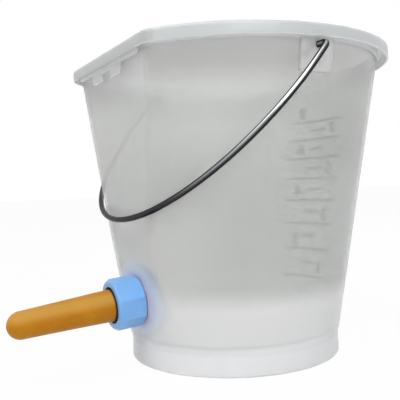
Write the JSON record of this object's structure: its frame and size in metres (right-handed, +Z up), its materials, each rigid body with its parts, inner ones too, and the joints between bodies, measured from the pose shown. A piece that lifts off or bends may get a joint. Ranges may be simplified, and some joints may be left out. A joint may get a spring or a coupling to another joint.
{
  "type": "calf feeder bucket",
  "caption": "Clear tapered feeding bucket with a flat side to hang on a rail, a wire bail, and a rubber teat clamped by a union nut over a ball valve.",
  "frame": {"origin": "on the bucket's axis, on the surface that its foot ring stands on", "axes": "+Z up along the bucket's axis, -Y out of the flat side towards the teat, +X and -X through the bail's ears"},
  "size_m": [0.312, 0.3634, 0.2745],
  "materials": {
    "clear_plastic": "milky translucent, satin",
    "steel_wire": "bright drawn wire",
    "blue_plastic": "satin",
    "pale_blue_plastic": "satin",
    "red_rubber": "matt",
    "amber_rubber": "smooth, soft sheen",
    "white_plastic": "satin"
  },
  "bodies": {
    "bucket": {"bucket": "clear_plastic", "valve_body": "blue_plastic", "inner_gasket": "red_rubber", "ball_cage": "white_plastic"},
    "bail": {"bail": "steel_wire"},
    "teat": {"teat": "amber_rubber"},
    "nut": {"union_nut": "pale_blue_plastic"},
    "ball": {"valve_ball": "white_plastic"}
  },
  "joints": [
    {"name": "bail_swing", "type": "hinge", "parent": "bucket", "child": "bail", "pos_m": [0, -0.005, 0.2598], "axis": [-1, 0, 0], "range_deg": [0, 270]},
    {"name": "teat_draw", "type": "slide", "parent": "bucket", "child": "teat", "axis": [0, -0.9967, -0.0814], "range_m": [0, 0.015]},
    {"name": "nut_turn", "type": "hinge", "parent": "teat", "child": "nut", "pos_m": [0, -0.09984, 0.0587], "axis": [0, -0.9967, -0.0814], "range_deg": [0, 1350]},
    {"name": "ball_travel", "type": "slide", "parent": "bucket", "child": "ball", "axis": [0, -0.9967, -0.0814], "range_m": [-0.0046, 0]}
  ],
  "couplings": [
    {"joint": "teat_draw", "follows": "nut_turn", "m_per_rad": 0.00063662}
  ]
}
